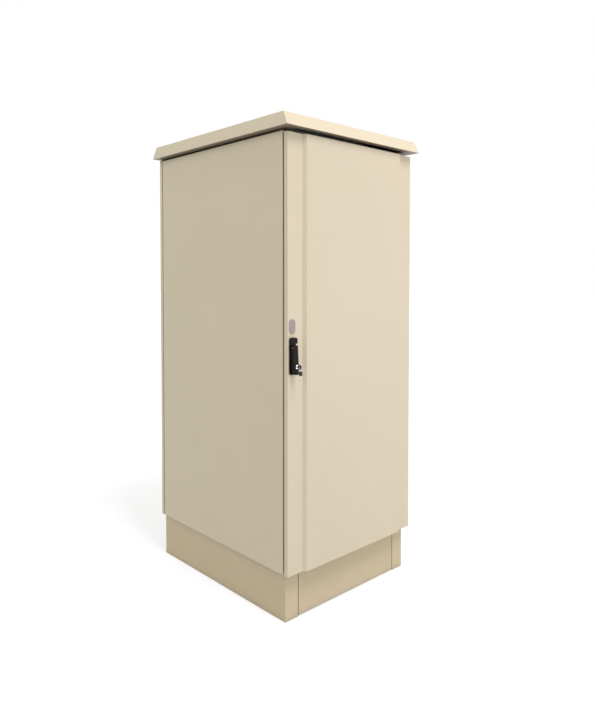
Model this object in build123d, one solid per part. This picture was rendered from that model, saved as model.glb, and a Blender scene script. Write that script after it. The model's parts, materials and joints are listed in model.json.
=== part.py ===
from build123d import *
import math
import os

os.makedirs("parts", exist_ok=True)

# Driving sizes of the cabinet, in millimetres
body_width = 800.0
body_depth = 970.0
door_height = 1800.0
plinth_height = 200.0
door_lift = 5.0
panel_lift = 6.0
panel_rise = 7.0

# Sheet metal
sheet = 2.0
frame_sheet = 2.5
bend = 3.0
overrun = 8.0
head_sides = 6
neck_sides = 4
round_sides = 24
small_sides = 12
hole_clearance = 0.4
fit_clearance = 0.05
seal_clearance = 0.3

# Plinth
plinth_side_inset = 16.0
plinth_front_inset = 32.0
plinth_rear_inset = 12.0
plinth_corner_width = 71.0
plinth_flange = 60.0
cover_gap = 3.5
cover_floor_gap = 4.0
cover_depth = 22.0
cover_lip = 22.0
anchor_hole_radius = 7.0
anchor_end_inset = 140.0
anchor_side_inset = 38.0
base_bolt_radius = 5.0
base_bolt_head_radius = 9.8
base_bolt_head_height = 6.4
base_bolt_end_inset = 180.0
screw_stand = 3.0
cover_screw_radius = 3.0
cover_screw_head_radius = 5.0
cover_screw_head_height = 3.3
cover_screw_share = 0.5

# Door
stile_width = 82.0
step_width = 14.0
step_rise = 13.0
door_return = 20.0
panel_gap = 10.0
ring_inset = 46.0
ring_width = 58.0
ring_flange = 15.0
gasket_width = 12.0
gasket_depth = 8.0

# Hinges
hinge_end_inset = 190.0
hinge_leaf = 3.0
hinge_offset = 1.0
knuckle_radius = 4.0
knuckle_height = 32.0
knuckle_gap = 0.3
hinge_pin_radius = 2.5
frame_leaf_reach = 20.0
frame_leaf_pad = 36.0
door_leaf_reach = 10.0
door_leaf_pad = 28.0
hinge_notch_gap = 1.5
hinge_screw_radius = 2.5
hinge_screw_head_radius = 4.5
hinge_screw_head_height = 2.6

# Swing handle
lock_inset = 25.0
lock_height = 934.0
handle_width = 33.0
handle_length = 150.0
handle_above = 41.0
handle_base = 6.0
handle_hood = 15.0
hood_height = 24.0
handle_corner = 9.0
handle_screw_radius = 2.0
handle_screw_head_radius = 4.0
handle_screw_head_height = 2.4
handle_screw_inset = 5.0
handle_screw_drop = 14.0
handle_screw_bite = 4.5
spindle_radius = 6.0
spindle_square = 8.0
spindle_screw_radius = 2.0
spindle_screw_bite = 9.0
pivot_forward = 14.0
pivot_pin_radius = 2.0
pivot_pin_recess = 1.0
lever_gap = 0.5
lever_length = 107.0
lever_reach = 30.0
lever_top_width = 26.0
lever_tip_width = 21.0
lever_crown = 10.0
lever_round = 4.0
tongue_width = 9.0
tongue_radius = 4.5
plate_width = 33.0
plate_length = 60.0
plate_thick = 2.0
plate_gap = 15.0

# Cylinder and keys
cylinder_drop = 75.0
cylinder_radius = 7.5
cylinder_stand = 1.5
cylinder_depth = 18.0
cylinder_floor = 3.0
plug_radius = 4.8
plug_stand = 0.5
key_clearance = 0.1
key_blade_thick = 2.0
key_blade_width = 7.0
key_blade_depth = 13.0
key_neck = 5.0
key_bow_radius = 10.0
key_bow_thick = 5.0
key_hole_radius = 2.2
key_hole_edge = 4.5
key_ring_radius = 9.0
key_wire = 1.4
key_play = 0.3

# Lock rods
gear_module = 1.5
pinion_teeth = 12
rack_teeth = 8
rack_lead_teeth = 2
pressure_angle = 20.0
rack_addendum_share = 0.65
dedendum_share = 1.25
gear_backlash = 0.3
rod_width = 6.0
rod_thick = 6.0
rod_setback = 5.0
rod_tail = 12.0
rod_play = 0.3
rod_guide_wall = 3.0
rod_guide_height = 14.0
rod_guide_shares = (0.35, 0.8)
case_wall = 2.0
case_depth = 18.0
case_half_height = 30.0
keeper_sheet = 3.0
keeper_inset = 14.0
keeper_drop = 14.0
keeper_pad = 42.0
keeper_play = 0.6
keeper_end = 54.0

# Frame
post_setback = 34.0
post_side = 62.0
lip_inset = 66.0
rear_post_face = 50.0
rear_post_return = 24.0
gland_width = 420.0
gland_depth = 280.0
gland_border = 25.0
gland_setback = 40.0
cable_hole_radius = 34.0
cable_bore_radius = 26.0
grommet_flange = 7.0
grommet_length = 11.0
grommet_rise = 5.0
cable_entry_shares = (-0.25, 0.25)

# Side and rear panels
panel_depth = 20.0
panel_lip = 24.0
rear_panel_lip = 48.0
rear_gap = 6.0
rear_panel_drop = 2.0
panel_screw_radius = 3.0
panel_screw_head_radius = 6.0
panel_screw_head_height = 3.6
side_screw_shares = (0.1, 0.9)
rear_screw_shares = (0.08, 0.5, 0.92)

# Roof
roof_clearance = 12.0
roof_height = 56.0
roof_side_overhang = 29.0
roof_end_overhang = 18.0
roof_end_flare = 27.0
roof_side_flare = 5.0
roof_side_lip = 80.0
roof_end_lip = 34.0
roof_rail_width = 60.0
roof_rail_foot = 20.0
roof_rail_inset = 190.0
roof_rail_end_inset = 60.0

# Equipment rails
rail_spacing = 465.1
rail_face = 30.0
rail_web = 35.0
rail_setback = 150.0
rail_clear = 90.0
rail_hole = 9.5
rail_hole_count = 10
carrier_face = 40.0
carrier_flange = 18.0

# Earth bar
earth_bar_length = 240.0
earth_bar_width = 25.0
earth_bar_thick = 5.0
earth_bar_setback = 110.0
earth_stud_radius = 4.0
earth_stud_count = 5
standoff_radius = 9.0
standoff_height = 30.0
stud_head_radius = 7.5
stud_head_height = 5.3

# Planes and levels that the pieces share
x_left = -body_width / 2
x_right = body_width / 2
y_front = -body_depth / 2
y_rear = body_depth / 2
door_bottom = plinth_height + door_lift
door_top = door_bottom + door_height
panel_bottom = plinth_height + panel_lift
panel_top = door_top + panel_rise
base_top = plinth_height + frame_sheet
ceiling = panel_top - frame_sheet
x_post = x_left + panel_depth
y_post = y_front + post_setback
y_back = y_rear - panel_depth
lip_inner = lip_inset + frame_sheet
y_seal = y_front + 2 * sheet + gasket_depth + seal_clearance
roof_bottom = panel_top + roof_clearance
roof_top = roof_bottom + roof_height


def save(name, *solids):
    """Write one node, as one solid or as a group of separate solids."""
    shape = solids[0] if len(solids) == 1 else Compound(children=list(solids))
    export_step(shape, os.path.join("parts", name + ".step"))


def block(x_span, y_span, z_span):
    """Box between the lower and upper value given for each axis."""
    spans = (x_span, y_span, z_span)
    middle = [(low + high) / 2 for low, high in spans]
    return Pos(*middle) * Box(*[high - low for low, high in spans])


def rod(x, y, z_span, radius):
    """Upright cylinder."""
    low, high = z_span
    return Pos(x, y, (low + high) / 2) * Cylinder(radius, high - low)


def rod_y(x, z, y_span, radius):
    """Cylinder that lies along the depth."""
    low, high = y_span
    return Pos(x, (low + high) / 2, z) * Rot(90, 0, 0) * Cylinder(radius, high - low)


def right_hand(part):
    """Mirror image on the other side of the cabinet."""
    return mirror(part, Plane.YZ)


def fold_lines(points, thick, radius):
    """Lines along both faces of a folded strip, rounded outside each fold, with the metal on the left."""
    corners = [Vector(*point) for point in points]
    runs = [(b - a).normalized() for a, b in zip(corners, corners[1:])]
    normals = [Vector(-run.Y, run.X) for run in runs]
    inner = [corners[0] + normals[0] * thick]
    outer_radii = []
    inner_radii = []
    for corner, before, after, run, turn in zip(corners[1:], normals, normals[1:], runs, runs[1:]):
        inner.append(corner + (before + after) * (thick / (1 + before.dot(after))))
        left_turn = run.cross(turn).Z > 0
        outer_radii.append(radius if left_turn else 0)
        inner_radii.append(0 if left_turn else radius)
    inner.append(corners[-1] + normals[-1] * thick)
    return FilletPolyline(*corners, radius=outer_radii), FilletPolyline(*inner, radius=inner_radii)


def sheet_face(points, thick, radius):
    """Section of a folded strip."""
    outer, inner = fold_lines(points, thick, radius)
    ends = [Line(outer @ 0, inner @ 0), Line(outer @ 1, inner @ 1)]
    return make_face(outer.edges() + inner.edges() + ends)


def folded(points, thick, span, plane=Plane.XY, radius=0):
    """Folded strip extruded over a span along the plane's normal."""
    low, high = span
    return plane.offset(low) * extrude(sheet_face(points, thick, radius), high - low)


def tray(points, thick, span):
    """Upright folded strip with round folds, closed by a flat flange at each end."""
    low, high = span
    edge, _ = fold_lines(points, thick, bend)
    flange = extrude(make_face(edge.edges() + [Line(edge @ 1, edge @ 0)]), thick)
    strip = folded(points, thick, span, radius=bend)
    return strip + Pos(0, 0, low) * flange + Pos(0, 0, high - thick) * flange


def bar(sides, radius, low, high):
    """Bar of a regular section along Z."""
    return Pos(0, 0, low) * extrude(RegularPolygon(radius, sides), high - low)


def clear_radius(radius, sides, clearance):
    """Corner radius of a many-sided hole whose flats clear a shaft."""
    return (radius + clearance) / math.cos(math.pi / sides)


def screw(head_radius, head_height, radius, length):
    """Hexagon screw with a square neck that points along +Z, with its seat at the origin."""
    return bar(head_sides, head_radius, -head_height, 0) + bar(neck_sides, radius, 0, length)


def punched(part, places, radius, length):
    """Part with a clear square hole for the screw at each place."""
    hole = bar(neck_sides, radius + hole_clearance, -overrun, length + hole_clearance)
    return part - [place * hole for place in places]


# Plinth
plinth_left = x_left + plinth_side_inset
plinth_front = y_front + plinth_front_inset
plinth_rear = y_rear - plinth_rear_inset
plinth_corner = plinth_left + plinth_corner_width
front_ledge = plinth_front + cover_depth
rear_ledge = plinth_rear - cover_depth
anchor_x = plinth_left + anchor_side_inset
anchor_rows = (y_front + anchor_end_inset, y_rear - anchor_end_inset)
cover_screw_x = plinth_corner + (cover_gap + cover_lip) / 2
cover_screw_length = frame_sheet + sheet + screw_stand
cover_screw_places = []
for x in (cover_screw_x, -cover_screw_x):
    z = plinth_height * cover_screw_share
    cover_screw_places.append(Pos(x, front_ledge + frame_sheet, z) * Rot(90, 0, 0))
    cover_screw_places.append(Pos(x, rear_ledge - frame_sheet, z) * Rot(-90, 0, 0))
base_bolt_length = 2 * frame_sheet + screw_stand
base_bolt_places = []
for x in (anchor_x, -anchor_x):
    for y in (plinth_front + base_bolt_end_inset, plinth_rear - base_bolt_end_inset):
        base_bolt_places.append(Pos(x, y, base_top) * Rot(180, 0, 0))


def plinth_wall():
    """Left wall, folded round both corners to a ledge behind each cover, with a floor and a top flange."""
    ledge = plinth_corner + cover_lip
    outline = [
        (ledge, rear_ledge), (plinth_corner, rear_ledge), (plinth_corner, plinth_rear),
        (plinth_left, plinth_rear), (plinth_left, plinth_front), (plinth_corner, plinth_front),
        (plinth_corner, front_ledge), (ledge, front_ledge),
    ]
    wall = folded(outline, frame_sheet, (0, plinth_height))
    flange_x = (plinth_left + frame_sheet, plinth_left + plinth_flange)
    flange_y = (plinth_front + frame_sheet, plinth_rear - frame_sheet)
    wall += block(flange_x, flange_y, (0, frame_sheet))
    wall += block(flange_x, flange_y, (plinth_height - frame_sheet, plinth_height))
    for y in anchor_rows:
        wall -= rod(anchor_x, y, (-overrun, overrun), anchor_hole_radius)
    wall = punched(wall, base_bolt_places, base_bolt_radius, base_bolt_length)
    return punched(wall, cover_screw_places, cover_screw_radius, cover_screw_length)


def plinth_cover(face, inward):
    """Removable cover between the corners, with lips that lie on the ledges behind it."""
    edge = plinth_corner + cover_gap
    lip = plinth_corner + cover_lip
    seat = face + inward * cover_depth
    outline = [(lip, seat), (edge, seat), (edge, face), (-edge, face), (-edge, seat), (-lip, seat)]
    height = (cover_floor_gap, plinth_height - cover_floor_gap)
    cover = folded(outline[::inward], sheet, height)
    return punched(cover, cover_screw_places, cover_screw_radius, cover_screw_length)


left_plinth_wall = plinth_wall()
base_bolt = screw(base_bolt_head_radius, base_bolt_head_height, base_bolt_radius, base_bolt_length)
cover_screw = screw(cover_screw_head_radius, cover_screw_head_height, cover_screw_radius, cover_screw_length)
save("plinth_left_wall", left_plinth_wall)
save("plinth_right_wall", right_hand(left_plinth_wall))
save("plinth_front_cover", plinth_cover(plinth_front, 1))
save("plinth_rear_cover", plinth_cover(plinth_rear, -1))
save("base_bolts", *[place * base_bolt for place in base_bolt_places])

# Base plate with its gland plate
gland_y = y_post + gland_setback + gland_depth / 2
gland_top = base_top + frame_sheet
cable_entries = [gland_width * share for share in cable_entry_shares]
gland_screw_x = (gland_width - gland_border) / 2
gland_screw_y = (gland_depth - gland_border) / 2
gland_screw_length = 2 * frame_sheet + screw_stand
gland_screw_places = []
for x in (-gland_screw_x, gland_screw_x):
    for y in (gland_y - gland_screw_y, gland_y + gland_screw_y):
        gland_screw_places.append(Pos(x, y, gland_top) * Rot(180, 0, 0))


def base_plate():
    """Floor of the cabinet, open below the gland plate."""
    plate = block((x_post, -x_post), (y_post, y_back), (plinth_height, base_top))
    window_x = gland_width / 2 - gland_border
    window_y = gland_depth / 2 - gland_border
    level = (plinth_height - overrun, base_top + overrun)
    plate -= block((-window_x, window_x), (gland_y - window_y, gland_y + window_y), level)
    plate = punched(plate, base_bolt_places, base_bolt_radius, base_bolt_length)
    return punched(plate, gland_screw_places, cover_screw_radius, gland_screw_length)


def gland_plate():
    """Removable plate with round cable entries."""
    half_x = gland_width / 2
    half_y = gland_depth / 2
    plate = block((-half_x, half_x), (gland_y - half_y, gland_y + half_y), (base_top, gland_top))
    hole = bar(small_sides, cable_hole_radius, base_top - overrun, gland_top + overrun)
    for x in cable_entries:
        plate -= Pos(x, gland_y) * hole
    return punched(plate, gland_screw_places, cover_screw_radius, gland_screw_length)


def cable_grommets():
    """Rubber bushes that hang by a flange in the cable entries."""
    bush = bar(small_sides, cable_hole_radius - seal_clearance, gland_top - grommet_length, gland_top)
    bush += bar(small_sides, cable_hole_radius + grommet_flange, gland_top, gland_top + grommet_rise)
    bush -= rod(0, 0, (gland_top - grommet_length, gland_top + grommet_rise), cable_bore_radius)
    for x in cable_entries:
        yield Pos(x, gland_y) * bush


gland_screw = screw(cover_screw_head_radius, cover_screw_head_height, cover_screw_radius, gland_screw_length)
save("base_plate", base_plate())
save("gland_plate", gland_plate())
save("cable_grommets", *cable_grommets())
save("base_screws", *[place * cover_screw for place in cover_screw_places],
     *[place * gland_screw for place in gland_screw_places])

# Corner posts, sill and header
side_front = y_front + door_return + panel_gap
side_rear = y_back - rear_gap
fold = frame_sheet + bend
side_screw_rows = (
    (y_post + fold + side_front + panel_lip) / 2,
    (y_back - fold + side_rear - panel_lip) / 2,
)
side_screw_length = frame_sheet + sheet + screw_stand
rear_screw_x = (x_post + fold + x_left + rear_panel_lip) / 2
rear_screw_length = panel_depth + frame_sheet + screw_stand
left_screw_places = []
rear_screw_places = []
for share in side_screw_shares:
    z = panel_bottom + share * (panel_top - panel_bottom)
    for y in side_screw_rows:
        left_screw_places.append(Pos(x_post + frame_sheet, y, z) * Rot(0, -90, 0))
for share in rear_screw_shares:
    z = panel_bottom + share * (panel_top - panel_bottom)
    for x in (rear_screw_x, -rear_screw_x):
        rear_screw_places.append(Pos(x, y_rear, z) * Rot(90, 0, 0))


def front_post():
    """Left front post, with a lip that presses on the door gasket and a gutter outside it."""
    lip = x_left + lip_inset
    outline = [(x_post, y_post + post_side), (x_post, y_post), (lip, y_post), (lip, y_seal)]
    post = folded(outline, frame_sheet, (base_top, ceiling))
    lip_zone = ((lip - overrun, lip + overrun), (y_seal - overrun, y_post))
    post -= block(*lip_zone, (base_top - overrun, door_bottom + lip_inset))
    post -= block(*lip_zone, (door_top - lip_inset, ceiling + overrun))
    return punched(post, left_screw_places, panel_screw_radius, side_screw_length)


def rear_post():
    """Left rear post, a channel that carries the rear panel."""
    end = x_post + rear_post_face
    outline = [
        (end, y_back - rear_post_return), (end, y_back), (x_post, y_back), (x_post, y_back - post_side),
    ]
    post = folded(outline, frame_sheet, (base_top, ceiling))
    post = punched(post, left_screw_places, panel_screw_radius, side_screw_length)
    return punched(post, rear_screw_places, panel_screw_radius, rear_screw_length)


def cross_lip(level, end):
    """Sill or header between the posts, with its sealing lip at the level."""
    outline = [(y_seal, level), (y_post, level), (y_post, end)]
    upward = end > level
    points = outline[::-1] if upward else outline
    return folded(points, frame_sheet, (x_left + lip_inner, x_right - lip_inner), Plane.YZ)


left_front_post = front_post()
left_rear_post = rear_post()
save("post_front_left", left_front_post)
save("post_rear_left", left_rear_post)
save("post_rear_right", right_hand(left_rear_post))
save("front_sill", cross_lip(door_bottom + lip_inset, base_top))
save("front_header", cross_lip(door_top - lip_inset, ceiling))
save("top_plate", block((x_post, -x_post), (y_post, y_back), (ceiling, panel_top)))


# Side and rear panels
def side_panel():
    """Left panel, fixed from inside through the posts."""
    outline = [
        (x_post, side_rear - panel_lip), (x_post, side_rear), (x_left, side_rear),
        (x_left, side_front), (x_post, side_front), (x_post, side_front + panel_lip),
    ]
    panel = tray(outline, sheet, (panel_bottom, panel_top))
    return punched(panel, left_screw_places, panel_screw_radius, side_screw_length)


def rear_panel():
    """Rear panel over the full width and up to the roof's lip, with screws through its face."""
    lip = x_left + rear_panel_lip
    outline = [
        (-lip, y_back), (x_right, y_back), (x_right, y_rear),
        (x_left, y_rear), (x_left, y_back), (lip, y_back),
    ]
    panel = tray(outline, sheet, (panel_bottom, roof_bottom - rear_panel_drop))
    return punched(panel, rear_screw_places, panel_screw_radius, rear_screw_length)


def panel_screw(length):
    """Screw for a panel, of the length that its place needs."""
    return screw(panel_screw_head_radius, panel_screw_head_height, panel_screw_radius, length)


left_side_panel = side_panel()
save("left_side_panel", left_side_panel)
save("right_side_panel", right_hand(left_side_panel))
save("rear_panel", rear_panel())
left_screws = [place * panel_screw(side_screw_length) for place in left_screw_places]
save("panel_screws", *left_screws, *[right_hand(one) for one in left_screws],
     *[place * panel_screw(rear_screw_length) for place in rear_screw_places])

# Roof
roof_front = y_front - step_rise - roof_end_overhang
roof_rear = y_rear + roof_end_overhang
roof_half = body_width / 2 + roof_side_overhang


def roof_form(inset, low, high):
    """Flared block whose sides are the roof's skirts, moved in by the inset."""
    middle = (roof_front + roof_rear) / 2
    width = 2 * (roof_half - inset)
    depth = roof_rear - roof_front - 2 * inset
    foot = Pos(0, middle, low) * Rectangle(width, depth)
    top = Pos(0, middle, high) * Rectangle(width - 2 * roof_side_flare, depth - 2 * roof_end_flare)
    return loft([foot, top])


def roof():
    """Folded roof cap with flared skirts and a lip turned in below them."""
    cap = roof_form(0, roof_bottom, roof_top) - roof_form(sheet, roof_bottom + sheet, roof_top - sheet)
    mouth_x = roof_half - roof_side_lip
    return cap - block((-mouth_x, mouth_x), (roof_front + roof_end_lip, roof_rear - roof_end_lip),
                       (roof_bottom - overrun, roof_bottom + roof_height / 2))


def roof_rail(y):
    """Hat rail on the top plate that carries the roof."""
    half = roof_rail_width / 2
    top = roof_top - sheet - frame_sheet
    outline = [
        (y - half - roof_rail_foot, panel_top), (y - half, panel_top), (y - half, top),
        (y + half, top), (y + half, panel_top), (y + half + roof_rail_foot, panel_top),
    ]
    end = x_post + roof_rail_end_inset
    return folded(outline, frame_sheet, (end, -end), Plane.YZ)


save("roof", roof())
save("roof_rail_front", roof_rail(y_post + roof_rail_inset))
save("roof_rail_rear", roof_rail(y_back - roof_rail_inset))

# Equipment rails and their carriers
y_rail = y_front + rail_setback
rail_bottom = base_top + rail_clear + carrier_face
rail_top = ceiling - rail_clear - carrier_face
carrier_x = x_post + frame_sheet
carrier_spans = {
    "low": (rail_bottom, rail_bottom - carrier_face),
    "high": (rail_top, rail_top + carrier_face),
}


def equipment_rail():
    """Left upright rail with square holes down its face."""
    web = -rail_spacing / 2 - rail_face / 2
    outline = [(web, y_rail + rail_web), (web, y_rail), (web + rail_face, y_rail)]
    rail = folded(outline, frame_sheet, (rail_bottom, rail_top))
    pitch = (rail_top - rail_bottom) / rail_hole_count
    holes = []
    for number in range(rail_hole_count):
        level = rail_bottom + pitch * (number + 1 / 2)
        place = Pos(-rail_spacing / 2, y_rail, level)
        holes.append(place * Box(rail_hole, 2 * overrun, rail_hole))
    return rail - holes


def depth_rail(span):
    """Left channel between the front and rear posts."""
    low, high = sorted(span)
    edge = carrier_x + carrier_flange
    outline = [(edge, high), (carrier_x, high), (carrier_x, low), (edge, low)]
    return folded(outline, frame_sheet, (fold - y_back, -y_post - fold), Plane.XZ)


def cross_rail(span):
    """Channel across the cabinet that an end of each equipment rail stands on."""
    near, far = span
    outline = [(y_rail + rail_web, far), (y_rail + rail_web, near), (y_rail, near), (y_rail, far)]
    points = outline if near > far else outline[::-1]
    end = carrier_x + carrier_flange
    return folded(points, frame_sheet, (end, -end), Plane.YZ)


left_equipment_rail = equipment_rail()
save("equipment_rail_left", left_equipment_rail)
save("equipment_rail_right", right_hand(left_equipment_rail))
left_depth_rails = [depth_rail(span) for span in carrier_spans.values()]
save("depth_rails", *left_depth_rails, *[right_hand(rail) for rail in left_depth_rails])
for level, span in carrier_spans.items():
    save("cross_rail_" + level, cross_rail(span))

# Earth bar
earth_y = y_back - earth_bar_setback
earth_low = base_top + standoff_height
earth_high = earth_low + earth_bar_thick
earth_pitch = earth_bar_length / (earth_stud_count + 2)
earth_bolt_length = earth_bar_thick + screw_stand
earth_bolt_places = []
for number in range(earth_stud_count):
    x = earth_pitch * (number - (earth_stud_count - 1) / 2)
    earth_bolt_places.append(Pos(x, earth_y, earth_high) * Rot(180, 0, 0))
standoff_x = earth_pitch * (earth_stud_count + 1) / 2
standoff_places = [Pos(x, earth_y, earth_low) for x in (-standoff_x, standoff_x)]


def earth_bar():
    """Copper bar with a row of holes."""
    half = earth_bar_length / 2
    strip = block((-half, half), (earth_y - earth_bar_width / 2, earth_y + earth_bar_width / 2),
                  (earth_low, earth_high))
    return punched(strip, earth_bolt_places + standoff_places, earth_stud_radius, earth_bolt_length)


earth_bolt = screw(stud_head_radius, stud_head_height, earth_stud_radius, earth_bolt_length)
standoff = screw(standoff_radius, standoff_height, earth_stud_radius, earth_bolt_length)
save("earth_bar", earth_bar())
save("earth_standoffs", *[place * standoff for place in standoff_places])
save("earth_bolts", *[place * earth_bolt for place in earth_bolt_places])

# Hinge places
x_hinge = x_right - knuckle_radius
y_hinge = y_front + door_return + hinge_offset
hinge_axis = Pos(x_hinge, y_hinge)
y_inside = y_front + sheet
hinge_levels = (door_bottom + hinge_end_inset, (door_bottom + door_top) / 2, door_top - hinge_end_inset)
hinge_pad_x = x_hinge - frame_leaf_reach
hinge_screw_length = hinge_leaf + frame_sheet + screw_stand
hinge_screw_places = []
for level in hinge_levels:
    for z in (level - knuckle_height / 4, level - knuckle_height * 3 / 4):
        place = Pos(hinge_pad_x - frame_leaf_pad / 2, y_post - hinge_leaf, z)
        hinge_screw_places.append(place * Rot(-90, 0, 0))


def knuckled(strap, span):
    """Strap with a knuckle round the hinge axis."""
    low, high = span
    bore = clear_radius(hinge_pin_radius, round_sides, fit_clearance)
    leaf = strap + hinge_axis * bar(small_sides, knuckle_radius, low, high)
    return leaf - hinge_axis * bar(round_sides, bore, low - overrun, high + overrun)


def hinge_frame_leaf(level):
    """Frame half of a hinge: lower knuckle, strap and a pad on the post."""
    strap = y_hinge + knuckle_radius
    outline = [
        (x_hinge, strap), (hinge_pad_x, strap), (hinge_pad_x, y_post), (hinge_pad_x - frame_leaf_pad, y_post),
    ]
    span = (level - knuckle_height, level - knuckle_gap / 2)
    leaf = knuckled(folded(outline, hinge_leaf, span), span)
    return punched(leaf, hinge_screw_places, hinge_screw_radius, hinge_screw_length)


def hinge_door_leaf(level):
    """Door half of a hinge: upper knuckle, strap and a pad on the inside of the stile."""
    strap = y_hinge - knuckle_radius
    turn = x_hinge - door_leaf_reach
    outline = [(turn - door_leaf_pad, y_inside), (turn, y_inside), (turn, strap), (x_hinge, strap)]
    span = (level + knuckle_gap / 2, level + knuckle_height)
    return knuckled(folded(outline, hinge_leaf, span), span)


def hinge_pin(level):
    """Pin through both knuckles of a hinge."""
    return hinge_axis * bar(round_sides, hinge_pin_radius, level - knuckle_height, level + knuckle_height)


hinge_post = punched(right_hand(left_front_post), hinge_screw_places, hinge_screw_radius, hinge_screw_length)
hinge_screw = screw(hinge_screw_head_radius, hinge_screw_head_height, hinge_screw_radius, hinge_screw_length)
save("hinge_frame_leaves", *[hinge_frame_leaf(level) for level in hinge_levels])
save("hinge_door_leaves", *[hinge_door_leaf(level) for level in hinge_levels])
save("hinge_pins", *[hinge_pin(level) for level in hinge_levels])
save("hinge_screws", *[place * hinge_screw for place in hinge_screw_places])
save("post_front_right", hinge_post)

# Lock places
x_lock = x_left + lock_inset
z_lock = door_bottom + lock_height
handle_top = z_lock + handle_above
handle_bottom = handle_top - handle_length
spindle_hole = clear_radius(spindle_radius, small_sides, hole_clearance)
handle_screw_length = sheet + handle_screw_bite
handle_screw_places = []
for z in (handle_top - handle_screw_inset, handle_bottom + handle_screw_drop):
    handle_screw_places.append(Pos(x_lock, y_inside, z) * Rot(90, 0, 0))


def door_skin():
    """Folded door: returns round the edge, a stile along each side and a raised panel between them."""
    raised = y_front - step_rise
    back = y_front + door_return
    step = stile_width + step_width
    outline = [
        (x_left, back), (x_left, y_front), (x_left + stile_width, y_front), (x_left + step, raised),
        (x_right - step, raised), (x_right - stile_width, y_front), (x_right, y_front), (x_right, back),
    ]
    skin = tray(outline, sheet, (door_bottom, door_top))
    for level in hinge_levels:
        reach = knuckle_height + hinge_notch_gap
        skin -= block((x_right - sheet - bend, x_right + overrun),
                      (y_hinge - knuckle_radius - hinge_notch_gap, back + overrun),
                      (level - reach, level + reach))
    skin -= Pos(x_lock, y_front, z_lock) * Rot(90, 0, 0) * bar(small_sides, spindle_hole, -overrun, overrun)
    return punched(skin, handle_screw_places, handle_screw_radius, handle_screw_length)


def frame_ring(inset, width, y_span):
    """Rectangular ring inside the door outline."""
    def slab(edge, span):
        return block((x_left + edge, x_right - edge), span, (door_bottom + edge, door_top - edge))
    low, high = y_span
    return slab(inset, y_span) - slab(inset + width, (low - overrun, high + overrun))


def door_inner_frame():
    """Stiffening frame behind the door skin, flanged round its opening."""
    ring = frame_ring(ring_inset, ring_width, (y_inside, y_inside + sheet))
    return ring + frame_ring(ring_inset + ring_width - sheet, sheet, (y_inside, y_inside + ring_flange))


gasket_inset = lip_inset + (frame_sheet - gasket_width) / 2
gasket_face = y_inside + sheet
save("door_skin", door_skin())
save("door_inner_frame", door_inner_frame())
save("door_gasket", frame_ring(gasket_inset, gasket_width, (gasket_face, gasket_face + gasket_depth)))

# Swing handle
front_face = Plane.XZ.offset(-y_front)
handle_middle = (handle_top + handle_bottom) / 2
y_pivot = y_front - pivot_forward
pivot_axis = Pos(x_lock, y_pivot, z_lock) * Rot(0, 90, 0)
pivot_bore = bar(round_sides, clear_radius(pivot_pin_radius, round_sides, fit_clearance),
                 -lever_top_width, lever_top_width)
nose = pivot_forward - handle_base - lever_gap
y_tip = y_front - lever_reach
z_tip = z_lock - lever_length
y_rod = y_inside + rod_setback
y_rod_back = y_rod + rod_thick
spindle_screw_place = Pos(x_lock, y_rod_back, z_lock) * Rot(90, 0, 0)


def handle_base_plate():
    """Base of the handle: a flat bed under the lever and a raised hood above it."""
    outline = Pos(x_lock, handle_middle) * RectangleRounded(handle_width, handle_length, handle_corner)
    upper = Pos(x_lock, handle_top - hood_height / 2) * Rectangle(handle_width, hood_height)
    base = front_face * (extrude(outline, handle_base) + extrude(outline & upper, handle_hood))
    base -= rod_y(x_lock, z_lock, (y_front - handle_hood, y_front + overrun), spindle_radius + fit_clearance)
    return punched(base, handle_screw_places, handle_screw_radius, handle_screw_length)


def handle_spindle():
    """Spindle with a tongue for the lever in front and a square for the pinion behind."""
    shaft = rod_y(x_lock, z_lock, (y_front - handle_base, y_rod), spindle_radius)
    half = spindle_square / 2
    shaft += block((x_lock - half, x_lock + half), (y_rod, y_rod_back), (z_lock - half, z_lock + half))
    side = (x_lock - tongue_width / 2, x_lock + tongue_width / 2)
    shaft += block(side, (y_pivot, y_front - handle_base), (z_lock - tongue_radius, z_lock + tongue_radius))
    tongue = bar(small_sides, tongue_radius, -tongue_width / 2, tongue_width / 2)
    shaft += pivot_axis * tongue
    shaft -= pivot_axis * pivot_bore
    return punched(shaft, [spindle_screw_place], spindle_screw_radius, spindle_screw_bite)


def lever_front(z):
    """Depth of the lever's sloped front at a height."""
    top = y_pivot - nose
    return top + (y_tip - top) * (z_lock - z) / lever_length


z_cylinder = z_lock - cylinder_drop
y_cylinder = lever_front(z_cylinder) - cylinder_stand
y_cylinder_back = y_cylinder + cylinder_depth
y_plug = y_cylinder - plug_stand
cylinder_place = Pos(x_lock, y_cylinder_back, z_cylinder) * Rot(90, 0, 0)


def handle_lever():
    """Lever with a sloped front, sides that taper to the tip and a back rounded about its pivot."""
    back = y_pivot + nose
    crown = z_lock + lever_crown
    side = make_face([
        RadiusArc((y_pivot, z_lock + nose), (back, z_lock), nose),
        Polyline((back, z_lock), (back, z_tip), (y_tip, z_tip), (lever_front(crown), crown),
                 (y_pivot, crown), (y_pivot, z_lock + nose)),
    ])
    wide = lever_top_width / 2
    narrow = lever_tip_width / 2
    outline = [(-wide, crown), (-narrow, z_tip), (narrow, z_tip), (wide, crown)]
    front = make_face(FilletPolyline(*outline, radius=lever_round, close=True))
    lever = Plane.YZ.offset(x_lock - wide) * extrude(side, lever_top_width)
    lever = lever & (front_face * Pos(x_lock, 0) * extrude(front, lever_reach + overrun))
    slot = tongue_width / 2 + hole_clearance
    lever -= block((x_lock - slot, x_lock + slot), (y_pivot - tongue_radius - hole_clearance, y_front),
                   (z_lock - tongue_radius - hole_clearance, crown + overrun))
    lever -= pivot_axis * pivot_bore
    hole = bar(round_sides, cylinder_radius + fit_clearance, 0, cylinder_depth)
    return lever - cylinder_place * hole


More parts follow.
